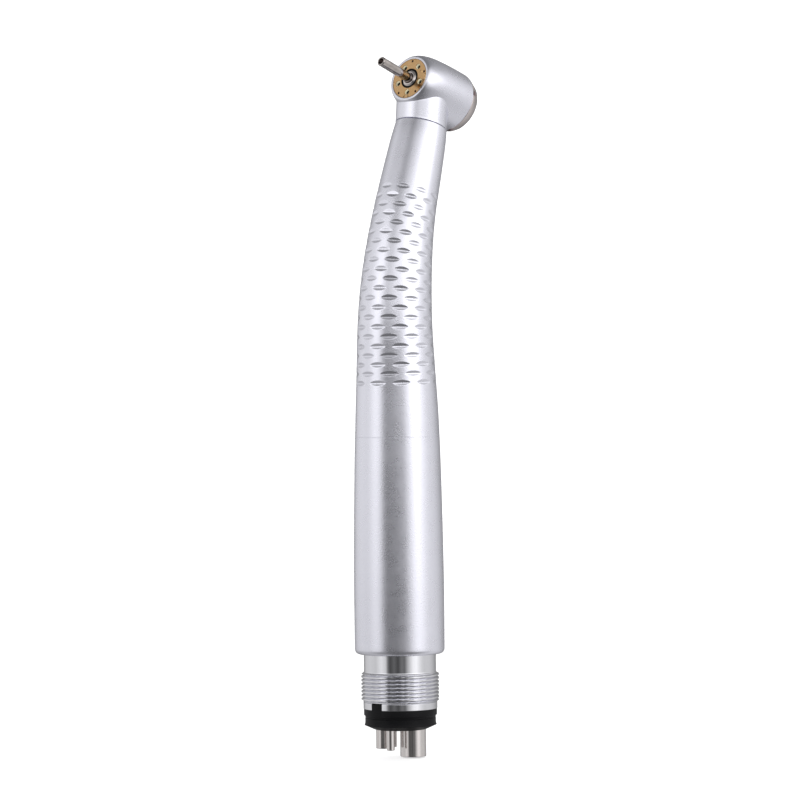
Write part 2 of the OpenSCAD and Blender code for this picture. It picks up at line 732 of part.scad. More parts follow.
module tube_block() color("gray") {
  channel_low = tube_top - 0.1;
  joint_z = insert_top - 0.9;
  exhaust_bore = 1.85;
  side_bore = 0.3;
  difference() {
    union() {
      translate([0, 0, ring_z]) cylinder(r = shell_r - fit_gap, h = insert_top - ring_z + cut, $fn = 96);
      translate([0, 0, insert_top]) cylinder(r = flange_r, h = flange_top - insert_top, $fn = 96);
    }
    tube_holes(ring_z - cut, tube_top);
    translate([exhaust_at[0], exhaust_at[1], ring_z]) cylinder(r = exhaust_bore, h = flange_top);
    // Slanted channels from the tubes to the pipes and to the generator
    hole_between([drive_at[0], drive_at[1], channel_low],
      [gen_port_at[0], gen_port_at[1], flange_top - 0.8], gen_port_bore);
    hole_between([water_at[0], water_at[1], channel_low],
      [side_pipe_x, neck_water_at[0], side_pipe_z + cut], side_bore);
    hole_between([chip_at[0], chip_at[1], channel_low], [chip_at[0], chip_at[1], joint_z + 0.3], side_bore);
    hole_between([chip_at[0], chip_at[1], joint_z],
      [side_pipe_x, neck_chip_at[0], side_pipe_z + cut], side_bore);
    at_port(flange_top - 1) cylinder(r = gen_port_r + fit_gap, h = 2);
    for (at = [neck_water_at, neck_chip_at])
      translate([side_pipe_x, at[0], side_pipe_z - cut])
        cylinder(r = neck_pipe_r + fit_gap, h = flange_top - side_pipe_z + 2 * cut, $fn = 48);
  }
}

// A tube that stands out of the rear face and has a thicker part inside
module hose_tube(at, r, wall, low) {
  thick_r = r + tube_step;
  translate([at[0], at[1], 0]) rotate_extrude($fn = 64) polygon([
    [r - wall, low], [r, low], [r, 0], [thick_r, 0], [thick_r, tube_top], [r - wall, tube_top]]);
}

module exhaust_tube() color("silver") hose_tube(exhaust_at, exhaust_r, 0.25, exhaust_end);
module drive_air_tube() color("silver") hose_tube(drive_at, drive_r, 0.25, drive_end);
module water_tube() color("silver") hose_tube(water_at, small_r, 0.2, tube_end);
module chip_air_tube() color("silver") hose_tube(chip_at, small_r, 0.2, tube_end);

head_housing();
face_plate();
led_board();
led_emitters();
front_seal_ring();
back_cap();
push_button();
button_spring();
spindle();
chuck_collet();
release_pusher();
impeller();
front_outer_race();
front_inner_race();
front_balls();
front_cage();
rear_outer_race();
rear_inner_race();
rear_balls();
rear_cage();
front_suspension_ring();
rear_suspension_ring();
preload_washer();
bur();
grip_sleeve();
rear_sleeve();
drive_air_pipe();
water_pipe();
chip_air_pipe();
led_wires();
generator_housing();
generator_end_cap();
generator_coil();
generator_magnet();
generator_wheel();
generator_shaft();
generator_bushes();
connector_collar();
slotted_ring();
insulator();
tube_block();
exhaust_tube();
drive_air_tube();
water_tube();
chip_air_tube();
sleeve_o_ring();
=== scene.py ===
"""High speed handpiece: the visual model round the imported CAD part. Lengths in the helpers are in mm."""

import json
import math

import bpy
import numpy as np
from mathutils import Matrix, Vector
from mathutils.geometry import delaunay_2d_cdt


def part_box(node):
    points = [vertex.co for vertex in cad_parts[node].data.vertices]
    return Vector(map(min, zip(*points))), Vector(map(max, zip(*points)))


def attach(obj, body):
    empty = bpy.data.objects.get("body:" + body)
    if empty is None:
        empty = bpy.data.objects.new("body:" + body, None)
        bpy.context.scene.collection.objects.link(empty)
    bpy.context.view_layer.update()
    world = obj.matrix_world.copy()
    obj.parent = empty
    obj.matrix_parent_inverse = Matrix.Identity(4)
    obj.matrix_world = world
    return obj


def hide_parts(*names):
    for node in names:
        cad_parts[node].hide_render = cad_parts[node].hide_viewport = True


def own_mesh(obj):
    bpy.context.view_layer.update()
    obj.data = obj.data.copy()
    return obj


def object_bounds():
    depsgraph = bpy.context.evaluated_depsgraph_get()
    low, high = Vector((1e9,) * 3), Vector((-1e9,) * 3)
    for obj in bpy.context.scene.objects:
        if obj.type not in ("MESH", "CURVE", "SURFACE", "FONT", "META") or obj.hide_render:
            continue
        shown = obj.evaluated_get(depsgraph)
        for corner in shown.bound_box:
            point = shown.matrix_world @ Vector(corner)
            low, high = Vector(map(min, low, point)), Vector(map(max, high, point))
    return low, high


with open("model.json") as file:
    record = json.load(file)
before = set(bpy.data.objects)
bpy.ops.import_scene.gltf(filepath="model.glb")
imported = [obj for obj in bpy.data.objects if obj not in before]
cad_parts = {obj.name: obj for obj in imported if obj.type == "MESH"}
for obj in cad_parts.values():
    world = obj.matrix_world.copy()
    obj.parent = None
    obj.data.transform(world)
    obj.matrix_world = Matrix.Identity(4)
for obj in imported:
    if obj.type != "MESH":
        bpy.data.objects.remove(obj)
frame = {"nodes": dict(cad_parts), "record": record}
cad_low, cad_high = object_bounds()
record = frame["record"]
MM = 0.001
TAU = 2 * math.pi


def box_mm(node):
    low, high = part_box(node)
    return np.array(low) / MM, np.array(high) / MM


# ---------------------------------------------------------------- frames taken from the record
joint = {j["name"]: j for j in record["behaviour"]["joints"]}
mount = {m["name"]: m for m in record["mounts"]}
HEAD = np.array(joint["rotor_spin"]["pos_m"]) / MM
BUR = np.array(joint["rotor_spin"]["axis"], float)
BUR /= np.linalg.norm(BUR)
NECK = np.array([BUR[2], 0, -BUR[0]])
SIDE = np.array([0.0, 1.0, 0.0])
BEND = math.asin(BUR[2])
HEAD_FRAME = np.array([NECK, SIDE, BUR])


def at_head(points):
    """Head frame (x up the neck, y to the side, z towards the bur tip) to the row frame."""
    return np.asarray(points, float) @ HEAD_FRAME + HEAD


def make(name, points, faces, body, look, replaces=(), sharp=32):
    """A mesh object from points in mm that rides on a CAD body."""
    mesh = bpy.data.meshes.new(name)
    mesh.from_pydata((np.asarray(points, float) * MM).tolist(), [], [tuple(f) for f in faces])
    mesh.validate()
    obj = bpy.data.objects.new(name, mesh)
    bpy.context.scene.collection.objects.link(obj)
    mesh.shade_smooth()
    mesh.set_sharp_from_angle(angle=math.radians(sharp))
    obj.data.materials.append(MATERIALS[look])
    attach(obj, body)
    if replaces:
        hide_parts(*replaces)
    return obj


def soften(points, radius, steps=4, closed=True):
    """Rounds the corners of an outline with small arcs."""
    pts = [np.array(p, float) for p in points]
    out = []
    for i, p in enumerate(pts):
        if not closed and i in (0, len(pts) - 1):
            out.append(p)
            continue
        a, b = pts[i - 1] - p, pts[(i + 1) % len(pts)] - p
        la, lb = np.linalg.norm(a), np.linalg.norm(b)
        turn = np.dot(a, b) / (la * lb)
        if turn < -0.995:
            out.append(p)
            continue
        cut = min(radius, 0.45 * la, 0.45 * lb)
        p0, p1 = p + a / la * cut, p + b / lb * cut
        # A point on the straight part just before and after the arc keeps the straight part flat when shaded
        if la > 3 * cut:
            out.append(p0 + a / la * 0.3 * cut)
        for k in range(steps + 1):
            t = k / steps
            out.append((1 - t) ** 2 * p0 + 2 * t * (1 - t) * p + t * t * p1)
        if lb > 3 * cut:
            out.append(p1 + b / lb * 0.3 * cut)
    return np.array(out)


def curve(points, count):
    """Values of a smooth curve through (position, value) points whose positions rise.

    count is a number of even steps, or the positions to read the curve at.
    """
    x, y = np.array(points, float).T
    slope = np.diff(y) / np.diff(x)
    m = np.concatenate([[slope[0]], (slope[1:] + slope[:-1]) / 2, [slope[-1]]])
    q = np.linspace(x[0], x[-1], count) if np.isscalar(count) else np.asarray(count, float)
    i = np.clip(np.searchsorted(x, q) - 1, 0, len(x) - 2)
    h = x[i + 1] - x[i]
    t = (q - x[i]) / h
    return (
        (2 * t**3 - 3 * t**2 + 1) * y[i] + (t**3 - 2 * t**2 + t) * h * m[i]
        + (-2 * t**3 + 3 * t**2) * y[i + 1] + (t**3 - t**2) * h * m[i + 1]
    )


ON_AXIS = 1e-6


def lathe(profile, segments=128, closed=True, angles=None, other=None, inside=None):
    """Points and faces of an outline (radius, height) turned about the local z axis.

    other is a second outline with as many points, used at the angles where inside(angle) is true.
    """
    profile = np.asarray(profile, float)
    angles = np.arange(segments) * TAU / segments if angles is None else np.asarray(angles)
    n, m = len(profile), len(angles)
    points = []
    for a in angles:
        prof = other if other is not None and inside(a) else profile
        points.append(np.column_stack([prof[:, 0] * np.cos(a), prof[:, 0] * np.sin(a), prof[:, 1]]))
    points = np.concatenate(points)
    faces = []
    for j in range(m):
        k = (j + 1) % m
        for i in range(n if closed else n - 1):
            i2 = (i + 1) % n
            if profile[i, 0] < ON_AXIS and profile[i2, 0] < ON_AXIS:
                continue
            if profile[i, 0] < ON_AXIS:
                faces.append((j * n + i, k * n + i2, j * n + i2))
            elif profile[i2, 0] < ON_AXIS:
                faces.append((j * n + i, k * n + i, j * n + i2))
            else:
                faces.append((j * n + i, k * n + i, k * n + i2, j * n + i2))
    return weld(points, faces)


def weld(points, faces):
    """Joins points that coincide, such as those on the axis."""
    key = np.round(points, 6)
    _, first, back = np.unique(key, axis=0, return_index=True, return_inverse=True)
    back = back.ravel()
    out = []
    for f in faces:
        g = []
        for v in f:
            w = int(back[v])
            if w not in g:
                g.append(w)
        if len(g) > 2:
            out.append(tuple(g))
    return points[first], out


def notch_angles(segments, centres, half):
    """Angles round a circle with pairs of columns close together at each notch edge."""
    gap, clear = 4e-4, 3e-3
    base = list(np.arange(segments) * TAU / segments)
    edges = []
    for c in centres:
        for s in (-1, 1):
            edges += [(c + s * half - gap) % TAU, (c + s * half + gap) % TAU]
    base = [a for a in base if min(abs((a - e + math.pi) % TAU - math.pi)
                                   for e in edges) > clear] if edges else base
    return np.array(sorted(base + edges))


def near(a, centres, half):
    return any(abs((a - c + math.pi) % TAU - math.pi) < half for c in centres)


def stack(rings, closed=True):
    """Faces between rings of equal size; rings is (count, n, 3)."""
    rings = np.asarray(rings)
    m, n = rings.shape[:2]
    idx = np.arange(m * n).reshape(m, n)
    a, b = idx[:-1], idx[1:]
    a2, b2 = np.roll(a, -1, 1), np.roll(b, -1, 1)
    faces = np.stack([a, a2, b2, b], -1).reshape(-1, 4)
    if closed:
        a, b = idx[-1], idx[0]
        faces = np.concatenate([faces, np.stack([a, np.roll(a, -1), np.roll(b, -1), b], -1)])
    return rings.reshape(-1, 3), faces.tolist()


# ---------------------------------------------------------------- materials
class Nodes:
    """Short names for building a shader tree."""

    def __init__(self, name):
        self.mat = bpy.data.materials.new(name)
        self.mat.use_nodes = True
        self.tree = self.mat.node_tree
        self.bsdf = self.tree.nodes["Principled BSDF"]
        self.where = self.add("ShaderNodeTexCoord").outputs["Object"]

    def add(self, kind, **values):
        node = self.tree.nodes.new(kind)
        for key, value in values.items():
            if key in node.inputs:
                node.inputs[key].default_value = value
            else:
                setattr(node, key, value)
        return node

    def link(self, a, b):
        self.tree.links.new(a, b)

    def noise(self, per_mm, detail=3.0, rough=0.55, stretch=(1, 1, 1)):
        place = self.add("ShaderNodeMapping")
        self.link(self.where, place.inputs["Vector"])
        place.inputs["Scale"].default_value = [1000 * per_mm * s for s in stretch]
        tex = self.add("ShaderNodeTexNoise", Detail=detail, Roughness=rough)
        tex.inputs["Scale"].default_value = 1.0
        self.link(place.outputs[0], tex.inputs["Vector"])
        return tex.outputs["Fac"]

    def spread(self, value, low, high):
        node = self.add("ShaderNodeMapRange")
        node.inputs["From Min"].default_value = 0.25
        node.inputs["From Max"].default_value = 0.75
        node.inputs["To Min"].default_value = low
        node.inputs["To Max"].default_value = high
        self.link(value, node.inputs["Value"])
        return node.outputs[0]

    def blend(self, value, a, b):
        node = self.add("ShaderNodeMix", data_type="RGBA")
        node.inputs["A"].default_value = (*a, 1)
        node.inputs["B"].default_value = (*b, 1)
        for i, socket in enumerate(node.inputs):
            if socket.type == "RGBA":
                socket.default_value = (*a, 1) if socket.name == "A" else (*b, 1)
        self.link(value, node.inputs["Factor"])
        return [o for o in node.outputs if o.type == "RGBA"][0]

    def bump(self, value, strength, distance_mm, before=None):
        node = self.add("ShaderNodeBump")
        node.inputs["Strength"].default_value = strength
        node.inputs["Distance"].default_value = distance_mm * MM
        self.link(value, node.inputs["Height"])
        if before is not None:
            self.link(before, node.inputs["Normal"])
        return node.outputs[0]


def surface(name, colour, dark=None, metallic=0.0, rough=(0.3, 0.4), grain=10, grain_depth=0.004, patch=0.35,
            patch_depth=0.0, scratch=0.0, stretch=(1, 1, 1), coat=0.0, emit=0.0, specular=0.5):
    """A surface with a fine grain, slow patches of wear in colour and roughness, and optional scratches.
    With a very dark second colour and stretched grain, the same mix paints reflection streaks instead (the
    bur).
    """
    n = Nodes(name)
    dark = dark or tuple(0.86 * c for c in colour)
    slow = n.noise(patch, 4, 0.6)
    fine = n.noise(grain, 2, 0.5, stretch)
    mixed = n.add("ShaderNodeMath", operation="ADD")
    half = n.add("ShaderNodeMath", operation="MULTIPLY")
    half.inputs[1].default_value = 0.5
    n.link(slow, mixed.inputs[0])
    n.link(fine, mixed.inputs[1])
    n.link(mixed.outputs[0], half.inputs[0])
    n.link(n.blend(half.outputs[0], dark, colour), n.bsdf.inputs["Base Color"])
    n.link(n.spread(slow, rough[0], rough[1]), n.bsdf.inputs["Roughness"])
    n.bsdf.inputs["Metallic"].default_value = metallic
    n.bsdf.inputs["Specular IOR Level"].default_value = specular
    n.bsdf.inputs["Coat Weight"].default_value = coat
    n.bsdf.inputs["Coat Roughness"].default_value = 0.1
    if emit:
        n.bsdf.inputs["Emission Color"].default_value = (*colour, 1)
        n.bsdf.inputs["Emission Strength"].default_value = emit
    out = n.bump(fine, 1.0, grain_depth)
    if patch_depth:
        out = n.bump(slow, 1.0, patch_depth, out)
    if scratch:
        lines = n.noise(6, 2, 0.7, (1, 1, 0.04))
        out = n.bump(lines, 1.0, scratch, out)
    n.link(out, n.bsdf.inputs["Normal"])
    return n.mat


LOOKS = {
    "satin_steel": dict(colour=(0.91, 0.91, 0.99), dark=(0.78, 0.78, 0.86), metallic=1.0,
                        rough=(0.25, 0.31), grain=5, grain_depth=0.014, patch=0.5),
    "brass_plate": dict(colour=(0.76, 0.50, 0.27), dark=(0.60, 0.36, 0.15), metallic=1.0,
                        rough=(0.18, 0.32), grain=3, grain_depth=0.004, patch=0.8),
    "circuit_board": dict(colour=(0.03, 0.16, 0.08), rough=(0.25, 0.4), grain=6, grain_depth=0.004,
                          coat=0.5),
    "led_lens": dict(colour=(0.010, 0.014, 0.003), dark=(0.006, 0.008, 0.002), rough=(0.25, 0.35),
                     grain=6, grain_depth=0.001, specular=0.2),
    # LED cups: the cream colour and faint glow are a painted highlight, not a lamp
    "painted_highlight_led_cup": dict(colour=(0.93, 0.88, 0.66), dark=(0.88, 0.82, 0.58), rough=(0.25, 0.35), grain=6,
                    grain_depth=0.001, emit=0.12),
    "shadowed_brass": dict(colour=(0.025, 0.005, 0.004), rough=(0.5, 0.6), grain=6, grain_depth=0.001,
                           specular=0.1),
    "black_seal": dict(colour=(0.005, 0.005, 0.005), rough=(0.45, 0.6), grain=12, grain_depth=0.003,
                       specular=0.1),
    "polished_chrome": dict(colour=(0.80, 0.80, 0.83), dark=(0.72, 0.72, 0.76), metallic=1.0,
                            rough=(0.05, 0.10), grain=5, grain_depth=0.0004, patch=0.7),
    "spring_steel": dict(colour=(0.45, 0.45, 0.47), metallic=1.0, rough=(0.25, 0.35), grain=8,
                         grain_depth=0.002),
    "turned_steel": dict(colour=(0.76, 0.71, 0.69), dark=(0.64, 0.59, 0.58), metallic=1.0,
                         rough=(0.1, 0.18), grain=8, grain_depth=0.001),
    # Bur: the very dark second colour, in long streaks along the bur, paints the reflection streaks of
    # polished steel
    "bur_steel_painted_streaks": dict(colour=(0.85, 0.79, 0.76), dark=(0.16, 0.13, 0.12), metallic=1.0,
                      rough=(0.05, 0.1), grain=2.5, grain_depth=0.0015, patch=0.9, stretch=(0.05, 1, 1)),
    "cap_steel": dict(colour=(0.78, 0.71, 0.70), dark=(0.70, 0.63, 0.62), metallic=1.0,
                      rough=(0.12, 0.2), grain=6, grain_depth=0.001, patch=0.6),
    "bearing_steel": dict(colour=(0.75, 0.75, 0.77), metallic=1.0, rough=(0.08, 0.15), grain=8,
                          grain_depth=0.0006),
    "cage_plastic": dict(colour=(0.50, 0.30, 0.12), rough=(0.4, 0.55), grain=8, grain_depth=0.003),
    "impeller_alloy": dict(colour=(0.72, 0.73, 0.75), metallic=1.0, rough=(0.25, 0.4), grain=8,
                           grain_depth=0.002),
    "stainless_tube": dict(colour=(0.74, 0.71, 0.70), dark=(0.64, 0.60, 0.59), metallic=1.0,
                           rough=(0.1, 0.18), grain=5, grain_depth=0.0012, patch=0.8, scratch=0.001),
    "wire_cover": dict(colour=(0.5, 0.03, 0.03), rough=(0.4, 0.5), grain=8, grain_depth=0.003),
    "alloy_block": dict(colour=(0.60, 0.60, 0.62), metallic=1.0, rough=(0.3, 0.45), grain=7,
                        grain_depth=0.003),
    "copper_winding": dict(colour=(0.72, 0.30, 0.15), metallic=1.0, rough=(0.25, 0.4), grain=8,
                           grain_depth=0.006, stretch=(0.3, 0.3, 2)),
    "magnet_grey": dict(colour=(0.18, 0.18, 0.20), metallic=0.8, rough=(0.4, 0.55), grain=9,
                        grain_depth=0.004),
    "white_plastic": dict(colour=(0.82, 0.82, 0.80), rough=(0.3, 0.4), grain=8, grain_depth=0.002),
    "bush_bronze": dict(colour=(0.50, 0.32, 0.15), metallic=1.0, rough=(0.35, 0.5), grain=10,
                        grain_depth=0.004),
    "black_plastic": dict(colour=(0.006, 0.006, 0.007), dark=(0.003, 0.003, 0.004), rough=(0.35, 0.5),
                          grain=8, grain_depth=0.003, patch=0.6, specular=0.12),
}
MATERIALS = {name: surface(name, **look) for name, look in LOOKS.items()}
slot_of = {s["node"]: s["material_slot"] for s in record["subparts"]}
for node_name, node_obj in frame["nodes"].items():
    node_obj.data.materials.clear()
    node_obj.data.materials.append(MATERIALS[slot_of[node_name]])

# ---------------------------------------------------------------- the handle axis and its radius
sleeve_low = box_mm("rear_sleeve")[0]
grip_low, grip_high = box_mm("grip_sleeve")
SLEEVE_Z = sleeve_low[2]
SEAM_Z = grip_low[2]
NECK_R = 4.45
SEAM_TOP = grip_high[2] - NECK_R * math.sin(BEND)
NECK_LENGTH = (HEAD[2] - SEAM_TOP) / math.cos(BEND)
# Going up, the handle leans back by BOW between the BOW_Z heights, then over to BEND between the ARC_Z ones
BOW = math.radians(1.4)
BOW_Z = (SEAM_Z, 58.0)
ARC_Z = (64.8, 90.8)
WALL = 0.7


def lean(z):
    z = np.asarray(z, float)
    bow = np.interp(z, BOW_Z, (0, -BOW))
    return bow + np.interp(z, ARC_Z, (0, BEND + BOW))


heights = np.linspace(0, HEAD[2] + 2, 24001)
offsets = np.concatenate([[0], np.cumsum(np.tan(lean((heights[1:] + heights[:-1]) / 2)) * np.diff(heights))])
lengths = np.concatenate([[0], np.cumsum(np.hypot(np.diff(heights), np.diff(offsets)))])


def axis_at(z):
    """Centre of the handle, and its lean, at height z."""
    return np.interp(z, heights, offsets), lean(z)


# (height, radius) of the grip
GRIP_RADII = [(49.5, 7.18), (53.3, 7.05), (59, 6.78), (67, 6.42), (73.5, 6.14), (80, 5.78), (85, 5.47),
              (89, 5.26), (92.3, 5.12), (96.4, 4.92), (100.5, 4.67), (SEAM_TOP, NECK_R)]


def ring(z, radius, angles):
    """One ring round the handle axis; radius is one number or one for each angle."""
    x, tilt = axis_at(z)
    r = np.broadcast_to(radius, angles.shape)
    return np.column_stack([x + r * np.cos(angles) * math.cos(tilt), r * np.sin(angles),
                            z - r * np.cos(angles) * math.sin(tilt)])


# ---------------------------------------------------------------- grip sleeve with its dimples
ROWS = 22
ROW_PITCH = 1.538
FIRST_ROW_Z = 58.78
PER_ROW = 10
ROW_PHASE = (math.radians(12.3), math.radians(30.3))
HALF_HEIGHT = 0.45
HALF_ANGLE = 0.228
CUT_DEPTH = 0.165
first_row = np.interp(FIRST_ROW_Z, heights, lengths)
row_at = first_row + ROW_PITCH * np.arange(ROWS)


def dimpled(z, radius, angles):
    """Radius at each angle once the pointed scallops are cut."""
    along = np.interp(z, heights, lengths)
    k = int(np.argmin(abs(row_at - along)))
    reach = abs(along - row_at[k]) / HALF_HEIGHT
    if reach >= 1:
        return np.full(angles.shape, radius)
    step = TAU / PER_ROW
    off = (angles - ROW_PHASE[k % 2] + step / 2) % step - step / 2
    depth = CUT_DEPTH * radius / 6.0 * (1 - (off / HALF_ANGLE) ** 2 - reach**1.4)
    return radius - np.maximum(0, depth)


def build_grip():
    around = np.arange(480) * TAU / 480
    top_row_z = float(np.interp(row_at[-1] + 1, lengths, heights))
    zs = np.concatenate([[SEAM_Z + 0.02], np.linspace(SEAM_Z + 0.06, FIRST_ROW_Z - 1, 20),
                         np.arange(FIRST_ROW_Z - 0.9, top_row_z, 0.06),
                         np.linspace(top_row_z + 0.05, SEAM_TOP - 0.1, 24), [SEAM_TOP - 0.04]])
    radii = curve(GRIP_RADII, zs)
    rings = [ring(SEAM_Z, radii[0] - WALL, around), ring(SEAM_Z, radii[0] - 0.012, around)]
    rings += [ring(z, dimpled(z, r, around), around) for z, r in zip(zs, radii)]
    rings += [ring(SEAM_TOP, radii[-1] - 0.06, around), ring(SEAM_TOP, radii[-1] - WALL, around)]
    inner = np.linspace(SEAM_TOP - 0.3, SEAM_Z + 0.3, 60)
    rings += [ring(z, float(curve(GRIP_RADII, [z])[0]) - WALL, around) for z in inner]
    points, faces = stack(rings)
    make("grip", points, faces, "handpiece", "satin_steel", ["grip_sleeve"], sharp=60)


# ---------------------------------------------------------------- rear sleeve
def build_rear():
    low = SLEEVE_Z
    outer = [(low + 0.85, 7.62), (20, 7.64), (25, 7.64), (30.8, 7.58), (36.9, 7.49), (41, 7.41),
             (45.1, 7.32), (SEAM_Z, 7.19)]
    zs = np.append(np.linspace(low + 0.85, SEAM_Z - 0.06, 60), SEAM_Z - 0.02)
    side = np.column_stack([curve(outer, zs), zs])
    corner = [(6.93 + 0.69 * math.sin(a), low + 0.85 * (1 - math.cos(a)))
              for a in np.linspace(0, math.pi / 2, 12)]
    edge = np.array([(6.9, low + 3), (6.9, low + 0.02), *corner])
    top = [(7.178, SEAM_Z), (6.42, SEAM_Z), (6.25, SEAM_Z + 3), (5.8, SEAM_Z + 3), (5.8, SEAM_Z - 1),
           (6.88, SEAM_Z - 6)]
    points, faces = lathe(np.concatenate([edge, side[1:], top]), 160)
    make("rear_shell", points, faces, "handpiece", "satin_steel", ["rear_sleeve"])


# ---------------------------------------------------------------- head
FACE = 5.3
# (height in the head frame, radius) of the barrel
BARREL = [(-5.8, 5.42), (-2.7, 5.35), (0.3, 5.2), (2.3, 5.0), (3.8, 4.7), (4.6, 4.42), (5.0, 4.22),
          (5.24, 4.02)]
NECK_ROOT_R = 4.6
NECK_SHIFT = 0.19
FILLET = 0.2


def neck_radius(x):
    """Radius of the flared neck at x, negative towards the grip."""
    return NECK_ROOT_R + (NECK_R - NECK_ROOT_R) * np.asarray(x) / -NECK_LENGTH


def barrel_r(h):
    return curve(BARREL, np.clip(h, BARREL[0][0], BARREL[-1][0]))


def build_head():
    hs = np.concatenate([np.linspace(-5.65, 3, 50), np.linspace(3.1, 5.24, 26)])
    side = np.column_stack([barrel_r(hs), hs])
    start = [(4.77, -3.0), (4.77, -5.8), (5.28, -5.8)]
    rim = soften([side[-1], (3.92, FACE), (3.58, FACE), (3.58, 4.79), (1.85, 4.45)], 0.09, 4, False)
    inner = [(1.85, 3.75), (3.5, 3.75), (3.5, 1.3), (4.15, 1.3), (4.15, -2.9)]
    points, faces = lathe(np.concatenate([start, side, rim[1:], inner]), 192)
    around = np.arange(192) * TAU / 192
    y, h = np.cos(around), np.sin(around)

    def neck_ring(x, r):
        return np.column_stack([np.broadcast_to(x, y.shape), r * y, r * h
                                + NECK_SHIFT * np.maximum(0, x + NECK_LENGTH)])

    # Fillet between the barrel and the collar: an arc of a ball that touches both
    cx = np.full(y.shape, -4.0)
    for _ in range(8):
        big = neck_radius(cx) + FILLET
        cy, ch = big * y, big * h + NECK_SHIFT * np.maximum(0, cx + NECK_LENGTH)
        slope = (barrel_r(ch + 0.01) - barrel_r(ch - 0.01)) / 0.02
        off = barrel_r(ch - FILLET * slope) + FILLET
        cx = -np.sqrt(np.maximum(off**2 - cy**2, 0.04))
    centre = np.column_stack([cx, cy, ch])
    to_neck = np.column_stack([0 * y, -y, -h]) * FILLET
    to_barrel = np.column_stack([-cx / off, -cy / off, slope])
    to_barrel *= FILLET / np.linalg.norm(to_barrel, axis=1)[:, None]
    arc = []
    for t in np.linspace(0, 1, 8):
        v = (1 - t) * to_neck + t * to_barrel
        arc.append(centre + v * FILLET / np.linalg.norm(v, axis=1)[:, None])
    inside = centre + to_barrel + np.column_stack([np.full(y.shape, 0.5), -0.3 * y, -0.3 * h])
    edge = -NECK_LENGTH
    end, passage_r, spigot_r = -9.2, 3.2, 3.68
    rings = [neck_ring(end, passage_r), neck_ring(end, 3.6), neck_ring(-9.1, spigot_r),
             neck_ring(edge, spigot_r)]
    low = edge + 0.17
    for x, r in ((edge, 4.0), (edge + 0.02, 4.02), (edge + 0.1, 4.03), (edge + 0.11, 4.42),
                 (low - 0.03, 4.46)):
        rings.append(neck_ring(x, r))
    rings.append(neck_ring(low, neck_radius(low)))
    for t in np.linspace(0.1, 0.9, 8):
        x = low + (cx - low) * t
        rings.append(neck_ring(x, neck_radius(x)))
    # The passage into the barrel ends inside its wall
    depth = np.sqrt(4.45**2 - (passage_r * y) ** 2)
    rings += arc + [inside, np.column_stack([-depth, passage_r * y, passage_r * h])]
    neck_points, neck_faces = stack(rings)
    faces = list(faces) + [tuple(v + len(points) for v in f) for f in neck_faces]
    points = np.concatenate([points, neck_points])
    make("head", at_head(points), faces, "handpiece", "satin_steel", ["head_housing"])


def circle(cx, cy, r, n):
    a = np.arange(n) * TAU / n
    return np.column_stack([cx + r * np.cos(a), cy + r * np.sin(a)])


def fill(loops):
    """Points and triangles of the plane inside closed outlines, holes included."""
    points, edges = [], []
    for loop in loops:
        base = len(points)
        points += loop.tolist()
        edges += [(base + i, base + (i + 1) % len(loop)) for i in range(len(loop))]
    flat, _, triangles, *_ = delaunay_2d_cdt([Vector(p) for p in points], edges, [], 0, 1e-6)
    return np.array([list(p) for p in flat]), triangles


def in_hole(point, holes):
    return any(np.linalg.norm(point - centre) < r - 1e-3 for centre, r in holes)


# ---------------------------------------------------------------- face plate, LEDs and seal
LED_CIRCLE_R = 2.5
SPRAY_CIRCLE_R = 3.15
LED_AT = [math.radians(181 + 72 * i) for i in range(5)]
SPRAY_AT = [a + math.radians(36) for a in LED_AT]
SLOT_AT = math.radians(238)
SLOT_IN, SLOT_OUT = 2.7, 3.4
SLOT_HALF = 0.38


